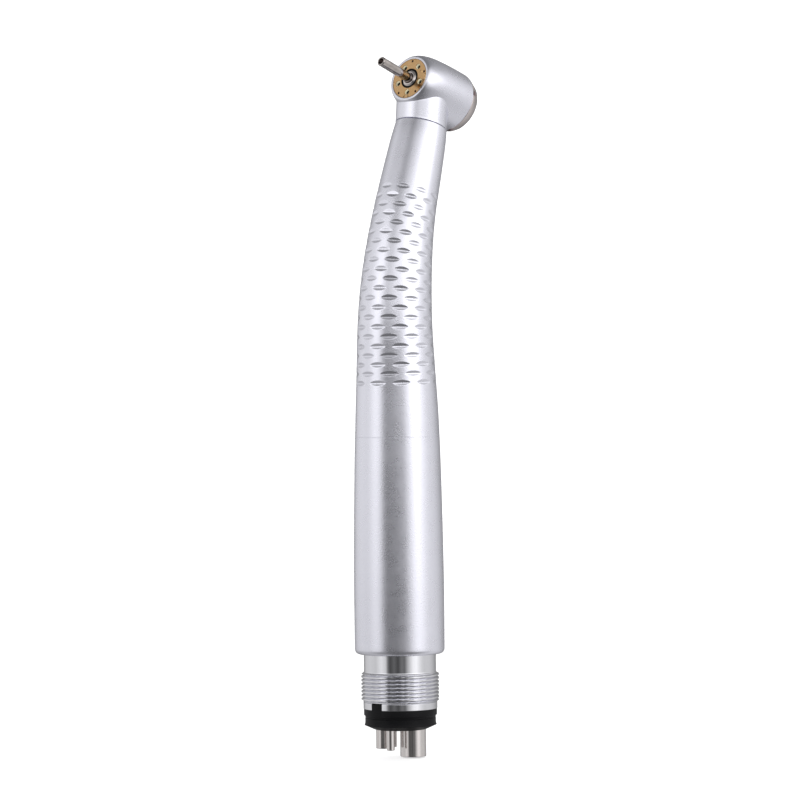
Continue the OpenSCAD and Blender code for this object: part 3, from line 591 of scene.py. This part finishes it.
def build_plate():
    top, bottom = FACE - 0.02, 4.8
    loops = [(circle(0, 0, 3.5, 128), [(3.55, top - 0.05), (3.55, bottom)], (0, 0), True),
             (circle(0, 0, 1.78, 96), [(1.74, top - 0.05), (1.74, bottom)], (0, 0), False)]
    for a in LED_AT:
        c = (LED_CIRCLE_R * math.cos(a), LED_CIRCLE_R * math.sin(a))
        loops.append((circle(*c, 0.52, 40), [(0.5, top - 0.02), (0.5, bottom)], c, False))
    for a in SPRAY_AT:
        c = (SPRAY_CIRCLE_R * math.cos(a), SPRAY_CIRCLE_R * math.sin(a))
        loops.append((circle(*c, 0.23, 20), [(0.21, top - 0.03), (0.21, bottom)], c, False))
    holes = [(np.array(c), float(np.linalg.norm(loop[0] - c))) for loop, _, c, outer in loops if not outer]
    # The key recess gets its own outline
    along = np.array([math.cos(SLOT_AT), math.sin(SLOT_AT)])
    across = np.array([-along[1], along[0]])
    outline = [along * u + across * v for u, v in soften(
        [(SLOT_IN, -SLOT_HALF), (SLOT_OUT, -SLOT_HALF), (SLOT_OUT, SLOT_HALF), (SLOT_IN, SLOT_HALF)],
        0.2, 5)]
    flat, tris = fill([loop for loop, *_ in loops] + [np.array(outline)])
    verts = np.column_stack([flat, np.full(len(flat), top)])
    faces = []
    for tri in tris:
        c = flat[list(tri)].mean(0)
        if np.linalg.norm(c) > 3.499 or in_hole(c, holes):
            continue
        u, v = c @ along, c @ across
        if SLOT_IN < u < SLOT_OUT and abs(v) < SLOT_HALF and inside_outline(c, outline):
            continue
        faces.append(tuple(tri))
    verts = verts.tolist()

    def wall(loop, levels):
        last = len(verts)
        verts.extend([[*p, top] for p in loop])
        for level in levels:
            start = len(verts)
            verts.extend(level.tolist())
            n = len(loop)
            for i in range(n):
                j = (i + 1) % n
                faces.append((last + i, last + j, start + j, start + i))
            last = start
        return last

    for loop, steps, c, _ in loops:
        r0 = np.linalg.norm(loop[0] - c)
        levels = []
        for r, z in steps:
            ring_xy = np.array(c) + (loop - c) * r / r0
            levels.append(np.column_stack([ring_xy, np.full(len(loop), z)]))
        wall(loop, levels)
    slot_loop = np.array(outline)
    last = wall(slot_loop, [np.column_stack([slot_loop, np.full(len(slot_loop), top - 0.28)])])
    faces.append(tuple(range(last, last + len(slot_loop))))
    points, faces = weld(np.array(verts), faces)
    make("face", at_head(points), faces, "handpiece", "brass_plate", ["face_plate"])


def inside_outline(p, outline):
    hit = False
    for a, b in zip(outline, outline[1:] + outline[:1]):
        if (a[1] > p[1]) != (b[1] > p[1]) and p[0] < (b[0] - a[0]) * (p[1] - a[1]) / (b[1] - a[1]) + a[0]:
            hit = not hit
    return hit


def join(parts):
    points, faces, base = [], [], 0
    for p, f in parts:
        points.append(np.asarray(p))
        faces += [tuple(v + base for v in g) for g in f]
        base += len(p)
    return np.concatenate(points), faces


def build_leds():
    parts = []
    # A reflector cup in each well, with the dark lens at its bottom; the cups' cream colour and faint glow
    # are a painted highlight
    base, lens_r, lens_rise = 4.82, 0.37, 0.22
    cup = [(0.48, base), (0.48, 5.21), (0.46, 5.23), (lens_r, 4.84), (lens_r, base)]
    lens = [(lens_r * math.sin(t), 4.84 + lens_rise * math.cos(t))
            for t in np.linspace(0, math.pi / 2, 8)] + [(lens_r, base), (0, base)]
    lenses = []
    for a in LED_AT:
        c = np.array([LED_CIRCLE_R * math.cos(a), LED_CIRCLE_R * math.sin(a), 0])
        p, f = lathe(cup, 32)
        parts.append((p + c, f))
        p, f = lathe(lens, 24, False)
        lenses.append((p + c, f))
    points, faces = join(lenses)
    make("led_lenses", at_head(points), faces, "handpiece", "led_lens", ["led_emitters"])
    points, faces = join(parts)
    make("painted_highlight_led_cups", at_head(points), faces, "handpiece", "painted_highlight_led_cup")
    # The far ends of the spray holes lie in shadow
    plug = [(0, 5.23), (0.205, 5.23), (0.205, 4.9), (0, 4.9)]
    plugs = []
    for a in SPRAY_AT:
        p, f = lathe(plug, 16, False)
        plugs.append((p + [SPRAY_CIRCLE_R * math.cos(a), SPRAY_CIRCLE_R * math.sin(a), 0], f))
    points, faces = join(plugs)
    make("spray_hole_ends", at_head(points), faces, "handpiece", "shadowed_brass")


def build_seal():
    outline = soften([(1.475, 4.46), (1.735, 4.46), (1.735, 5.36), (1.475, 5.36)], 0.09, 4)
    points, faces = lathe(outline, 96)
    make("seal", at_head(points), faces, "handpiece", "black_seal", ["front_seal_ring"])


# ---------------------------------------------------------------- rotor nose and bur
def build_spindle():
    outline = soften([(1.17, -5.35), (1.5875, -5.35), (1.5875, 3.75), (1.45, 3.8), (1.45, 5.3),
                      (1.12, 5.54), (0.98, 5.54), (0.84, 5.36), (0.83, 4.4), (1.17, 4.4)], 0.06, 3)
    points, faces = lathe(outline, 96)
    make("spindle_nose", at_head(points), faces, "rotor", "turned_steel", ["spindle"])


def build_bur():
    tip = float(np.max((np.array([[v.co.x, v.co.y, v.co.z]
                                  for v in frame["nodes"]["bur"].data.vertices]) / MM - HEAD) @ BUR))
    low = tip - 18
    outline = soften([(0, low), (0.65, low), (0.8, low + 0.15), (0.8, tip - 0.14), (0.68, tip), (0.56, tip),
                      (0.5, tip - 0.08), (0.45, tip - 1.8), (0, tip - 2)], 0.04, 3, False)
    points, faces = lathe(outline, 64, False)
    # The bur's dark and bright streaks are painted reflections
    make("bur_blank", at_head(points), faces, "bur", "bur_steel_painted_streaks", ["bur"])


# ---------------------------------------------------------------- back cap and button
def build_cap():
    plain = [(2.9, -5.6), (3.5, -5.6), (3.5, -3.4), (4.73, -3.4), (4.73, -5.8), (5.3, -5.8),
             (5.36, -5.84), (5.36, -5.98), (5.34, -6.06), (4.74, -7.72), (4.66, -7.8), (3.44, -7.8),
             (3.44, -7.34), (3.73, -7.34), (3.73, -6.15), (2.9, -6.15)]
    plain = np.array(plain)
    notched = plain.copy()
    for i in (5, 6, 7, 8):
        notched[i, 0] = 4.8
    notched[5, 1] = notched[6, 1] = -5.8
    notched[8] = (4.8, -6.7)
    notched[9] = (5.1, -6.72)
    centres = [math.radians(14 + 90 * i) for i in range(4)]
    half = 0.09
    angles = notch_angles(160, centres, half)
    points, faces = lathe(plain, angles=angles, other=notched, inside=lambda a: near(a, centres, half))
    make("cap", at_head(points), faces, "handpiece", "cap_steel", ["back_cap"])


def build_button():
    dome = [(0, -8.05)] + [(r, -8.05 + 0.13 * (r / 3.0) ** 2) for r in np.linspace(0.3, 3.0, 10)]
    rest = [(3.22, -7.86), (3.37, -7.72), (3.4, -7.6), (3.4, -7.32), (3.7, -7.32), (3.7, -7.07),
            (3.2, -7.07), (3.1, -7.12), (0, -7.12)]
    points, faces = lathe(dome + rest, 128, False)
    make("button_face", at_head(points), faces, "button", "polished_chrome", ["push_button"])


def build_spring():
    """The wire coil behind the button, built in one fixed shape; nothing here flattens it as the button is
    pressed.
    """
    wire, coil, low, high = 0.11, 3.3, -6.89, -6.3
    around = np.arange(12) * TAU / 12
    turns = np.linspace(0, 2.2, 160)
    thin = np.full(len(turns), wire)
    thin[[0, -1]] = 0
    rings = []
    for t, r in zip(turns, thin):
        a, out = t * TAU, coil + r * np.cos(around)
        rings.append(np.column_stack([out * math.cos(a), out * math.sin(a), low
                                      + (high - low) * t / 2.2 + r * np.sin(around)]))
    points, faces = weld(*stack(rings, closed=False))
    spring = make("button_coil", at_head(points), faces, "handpiece", "spring_steel", ["button_spring"])
    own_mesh(spring)


# ---------------------------------------------------------------- connector
def build_collar():
    thread = mount["hose_thread"]
    crest = thread["dims"]["r_mm"]
    mid = thread["pos_m"][2] / MM
    pitch, depth, plain_r = 0.63, 0.4, 6.18
    low, high = mid - thread["dims"]["length_mm"] / 2 - 0.26, mid + thread["dims"]["length_mm"] / 2 + 0.23
    n = 192
    around = np.arange(n) * TAU / n
    zs = np.arange(low, high, 0.03)
    rings = [np.column_stack([5.1 * np.cos(around), 5.1 * np.sin(around), np.full(n, low)])]

    def level(r, z):
        return np.column_stack([r * np.cos(around), r * np.sin(around), np.full(n, z)])

    for z in zs:
        phase = ((z - low) / pitch - around / TAU) % 1.0
        groove = np.clip(1 - np.minimum(phase, 1 - phase) / 0.3, 0, 1)
        start, end = np.clip([(z - low) / 0.3, (high - z) / 0.25], 0, 1)
        rings.append(level(plain_r + (crest - plain_r - depth * groove) * min(start, end), z))
    shoulder = SLEEVE_Z
    for r, z in [(plain_r, high), (6.14, high + 0.06), (6.12, high + 0.14), (6.12, high + 0.2),
                 (6.12, shoulder - 0.05), (6.12, shoulder + 0.02), (6.84, shoulder + 0.05),
                 (6.84, 14.55), (6.3, 14.6), (6.3, 15.4), (6.84, 15.45), (6.84, 16.95), (6.7, 17),
                 (5.1, 17)]:
        rings.append(level(r, z))
    points, faces = stack(rings)
    make("collar", points, faces, "handpiece", "polished_chrome", ["connector_collar"])


KEY_AT, KEY_HALF = math.pi, 0.18


def build_slotted_ring():
    low, high = box_mm("slotted_ring")
    a, b = low[2], high[2]
    plain = soften([(5.12, a), (6.27, a), (6.27, b), (5.12, b)], 0.06, 3)
    cut = plain.copy()
    cut[:, 0] = np.minimum(cut[:, 0], 5.4)
    angles = notch_angles(160, [KEY_AT], KEY_HALF)
    points, faces = lathe(plain, angles=angles, other=cut, inside=lambda t: near(t, [KEY_AT], KEY_HALF))
    make("slot_ring", points, faces, "handpiece", "polished_chrome", ["slotted_ring"])


def build_insulator():
    low, high = box_mm("insulator")
    top = 3.5
    plain = [(0, top), (5.5, top), (5.5, top), (6.19, top), (6.2, top - 0.03), (6.2, 2.44),
             (6.17, 2.4), (6.02, 2.38), (6.0, 2.34), (6.0, 2.14), (5.97, 2.1), (5.9, 2.08),
             (5.9, 1.98), (5.97, 1.96), (6.0, 1.92), (6.0, 1.25), (6.03, 1.0), (6.1, 0.82),
             (6.11, 0.77), (6.08, 0.72), (4.5, 0.02), (4.43, 0)]
    plain = np.array(plain)
    keyed = plain.copy()
    keyed[2] = (5.5, top + 1.04)
    keyed[3] = (6.15, top + 1.04)
    keyed[4] = (6.2, top + 0.98)
    half = KEY_HALF - 0.008
    angles = notch_angles(160, [KEY_AT], half)
    points, faces = lathe(plain[::-1], angles=angles, closed=False, other=keyed[::-1],
                          inside=lambda t: near(t, [KEY_AT], half))
    faces = [f[::-1] for f in faces]
    # The rear face carries the holes of the four tubes
    loops = [np.column_stack([plain[-1][0] * np.cos(angles), plain[-1][0] * np.sin(angles)])]
    holes = []
    for name in TUBES:
        m = mount[name]
        c, r = np.array(m["pos_m"][:2]) / MM, m["dims"]["r_mm"] + 0.03
        loops.append(circle(*c, r, 48))
        holes.append((c, r))
    flat, tris = fill(loops)
    verts = np.column_stack([flat, np.zeros(len(flat))]).tolist()
    plate = []
    for tri in tris:
        if not in_hole(flat[list(tri)].mean(0), holes):
            plate.append(tuple(tri)[::-1])
    for loop in loops[1:]:
        base = len(verts)
        verts += [[*p, 0] for p in loop] + [[*p, top - 0.05] for p in loop]
        n = len(loop)
        plate += [(base + i, base + (i + 1) % n, base + n + (i + 1) % n, base + n + i) for i in range(n)]
    points, faces = join([(points, faces), (np.array(verts), plate)])
    points, faces = weld(points, faces)
    make("insulator_body", points, faces, "handpiece", "black_plastic", ["insulator"])


# Mount of each tube end, with its CAD piece and its wall in mm
TUBES = {"exhaust_tube_end": ("exhaust_tube", 0.25), "drive_air_tube_end": ("drive_air_tube", 0.25),
         "water_tube_end": ("water_tube", 0.2), "chip_air_tube_end": ("chip_air_tube", 0.2)}


def build_tubes():
    for name, (node, wall) in TUBES.items():
        m = mount[name]
        r = m["dims"]["r_mm"]
        low, high = box_mm(node)
        a, b = low[2], high[2]
        outline = soften([(r - wall, a), (r, a), (r, b), (r - wall, b)], 0.09, 4)
        points, faces = lathe(outline, 72)
        points = points + [m["pos_m"][0] / MM, m["pos_m"][1] / MM, 0]
        make(node + "_pipe", points, faces, "handpiece", "stainless_tube", [node])


build_grip()
build_rear()
build_head()
build_plate()
build_leds()
build_seal()
build_spindle()
build_bur()
build_cap()
build_button()
build_spring()
build_collar()
build_slotted_ring()
build_insulator()
build_tubes()

# ---------------------------------------------------------------- floor, light and camera
VIEW = math.radians(-49.8)
TOWARDS = np.array([math.sin(VIEW), -math.cos(VIEW), 0])
RIGHT = np.array([math.cos(VIEW), math.sin(VIEW), 0])
EYE_Z = 55.78
EYE_DISTANCE = 553.0
EYE_SIDE = 0.53
EYE_ROLL = math.radians(-0.67)
SENSOR_WIDTH = 36
PICTURE_WIDTH = 800
FOCAL_LENGTH = 3257  # in the same unit as the picture width
FLOOR_Z = cad_low[2]


def build_floor():
    """A floor that curves up into a wall behind, seen from the camera."""
    across, front, back, curl, wall_top = 2.0, 1.2, -0.8, 0.6, 2.6
    rows = [(d, 0.0) for d in np.linspace(front, back, 12)]
    for t in np.linspace(0, math.pi / 2, 14)[1:]:
        rows.append((back - curl * math.sin(t), curl - curl * math.cos(t)))
    rows.append((-1.4, wall_top))
    verts, faces = [], []
    for d, z in rows:
        for s in (-1, 1):
            p = TOWARDS * d + RIGHT * s * across
            verts.append((p[0], p[1], FLOOR_Z - 0.0002 + z))
    for i in range(len(rows) - 1):
        faces.append((2 * i, 2 * i + 1, 2 * i + 3, 2 * i + 2))
    mesh = bpy.data.meshes.new("floor")
    mesh.from_pydata(verts, [], faces)
    mesh.shade_smooth()
    floor = bpy.data.objects.new("floor", mesh)
    bpy.context.scene.collection.objects.link(floor)
    n = Nodes("pale_floor")
    n.bsdf.inputs["Base Color"].default_value = (0.8, 0.8, 0.81, 1)
    n.bsdf.inputs["Roughness"].default_value = 0.9
    n.bsdf.inputs["Emission Color"].default_value = (1, 1, 1, 1)
    n.bsdf.inputs["Emission Strength"].default_value = 0.62
    n.link(n.bump(n.noise(0.2, 3), 0.4, 0.02), n.bsdf.inputs["Normal"])
    mesh.materials.append(n.mat)
    floor.visible_glossy = False
    floor.visible_shadow = False


# How bright the surroundings are at each angle, in degrees round the upright axis: 0 is towards the
# camera, + is to its right. The levels were adjusted until the handle was shaded as in the photo.
LEVEL = [(-180, 0.22), (-160, 0.3), (-140, 0.75), (-112, 0.88), (-84, 0.78), (-62, 1.25), (-47, 1.0),
         (-39, 0.2), (-32, 0.03), (-19, 0.15), (-6, 0.04), (6, 0.22), (15, 0.16), (27, 0.8), (42, 1.5),
         (54, 1.65), (66, 1.2), (75, 0.95), (84, 0.78), (110, 0.72), (141, 0.4), (165, 0.25),
         (180, 0.22)]
BELOW = [(-180, 0.2), (-130, 0.45), (-90, 0.5), (-55, 0.28), (-25, 0.14), (20, 0.14), (50, 0.32),
         (75, 0.5), (95, 0.68), (125, 0.62), (150, 0.4), (180, 0.2)]
ABOVE = [(-180, 0.25), (-150, 0.4), (-118, 0.72), (-87, 0.85), (-70, 1.15), (-50, 1.4), (-38, 0.95),
         (-29, 0.7), (-16, 0.9), (-4, 1.15), (12, 1.2), (30, 1.5), (60, 1.7), (80, 1.6), (90, 1.1),
         (97, 0.9), (118, 0.75), (149, 0.4), (180, 0.2)]
HIGHER = [(-180, 0.2), (-118, 0.38), (-80, 0.42), (-50, 0.44), (-38, 0.28), (-25, 0.28), (-12, 0.52),
          (12, 0.7), (30, 0.95), (60, 1.0), (80, 0.7), (97, 0.5), (118, 0.42), (149, 0.3), (180, 0.2)]
OVERHEAD = 0.2
PEAK = 1.8
# Each list takes over from the ones before it between two heights, given as the sine of the elevation
TAKES_OVER = [(0.03, 0.24, ABOVE), (0.46, 0.62, HIGHER), (0.73, 0.85, OVERHEAD), (0.05, -0.35, BELOW)]


def build_light():
    """Soft surroundings, brightest on both sides of the camera, with a dark gap where it stands."""
    bpy.context.scene.view_settings.view_transform = "Standard"
    world = bpy.data.worlds.new("studio")
    bpy.context.scene.world = world
    world.use_nodes = True
    tree = world.node_tree
    tree.nodes.clear()

    def add(kind, **kw):
        node = tree.nodes.new(kind)
        for k, v in kw.items():
            setattr(node, k, v)
        return node

    coord = add("ShaderNodeTexCoord")
    turn = add("ShaderNodeVectorRotate", rotation_type="Z_AXIS")
    turn.inputs["Angle"].default_value = -math.atan2(TOWARDS[1], TOWARDS[0])
    tree.links.new(coord.outputs["Generated"], turn.inputs["Vector"])
    parts = add("ShaderNodeSeparateXYZ")
    tree.links.new(turn.outputs[0], parts.inputs[0])
    angle = add("ShaderNodeMath", operation="ARCTAN2")
    tree.links.new(parts.outputs["Y"], angle.inputs[0])
    tree.links.new(parts.outputs["X"], angle.inputs[1])
    fraction = add("ShaderNodeMapRange")
    fraction.inputs["From Min"].default_value = -math.pi
    fraction.inputs["From Max"].default_value = math.pi
    tree.links.new(angle.outputs[0], fraction.inputs["Value"])

    def ramp(stops):
        node = add("ShaderNodeValToRGB")
        elements = node.color_ramp.elements
        elements.remove(elements[0])
        for i, (deg, value) in enumerate(stops):
            e = elements[0] if i == 0 else elements.new((deg + 180) / 360)
            e.position = (deg + 180) / 360
            e.color = (value / PEAK, value / PEAK, value / PEAK, 1)
        tree.links.new(fraction.outputs[0], node.inputs["Fac"])
        return node.outputs["Color"]

    level = ramp(LEVEL)
    for start, end, other in TAKES_OVER:
        fade = add("ShaderNodeMapRange")
        fade.inputs["From Min"].default_value = start
        fade.inputs["From Max"].default_value = end
        tree.links.new(parts.outputs["Z"], fade.inputs["Value"])
        mix = add("ShaderNodeMix", data_type="RGBA")
        a, b = [socket for socket in mix.inputs if socket.type == "RGBA"]
        tree.links.new(fade.outputs[0], mix.inputs["Factor"])
        tree.links.new(level, a)
        if isinstance(other, float):
            b.default_value = (other / PEAK, other / PEAK, other / PEAK, 1)
        else:
            tree.links.new(ramp(other), b)
        level = [socket for socket in mix.outputs if socket.type == "RGBA"][0]
    light = add("ShaderNodeBackground")
    tree.links.new(level, light.inputs["Color"])
    light.inputs["Strength"].default_value = PEAK
    plain = add("ShaderNodeBackground")
    path = add("ShaderNodeLightPath")
    plain.inputs["Color"].default_value = (1, 1, 1, 1)
    pick = add("ShaderNodeMixShader")
    tree.links.new(path.outputs["Is Camera Ray"], pick.inputs[0])
    tree.links.new(light.outputs[0], pick.inputs[1])
    tree.links.new(plain.outputs[0], pick.inputs[2])
    out = add("ShaderNodeOutputWorld")
    tree.links.new(pick.outputs[0], out.inputs["Surface"])


def build_camera():
    data = bpy.data.cameras.new("camera")
    data.sensor_width = SENSOR_WIDTH
    data.lens = SENSOR_WIDTH * FOCAL_LENGTH / PICTURE_WIDTH
    data.clip_start = 0.01
    cam = bpy.data.objects.new("camera", data)
    bpy.context.scene.collection.objects.link(cam)
    place = TOWARDS * EYE_DISTANCE + RIGHT * EYE_SIDE + np.array([0, 0, EYE_Z])
    cam.location = Vector(place * MM)
    cam.rotation_euler = Vector(-TOWARDS).to_track_quat("-Z", "Y").to_euler()
    cam.rotation_euler.rotate_axis("Z", EYE_ROLL)
    bpy.context.scene.camera = cam


build_floor()
build_light()
build_camera()
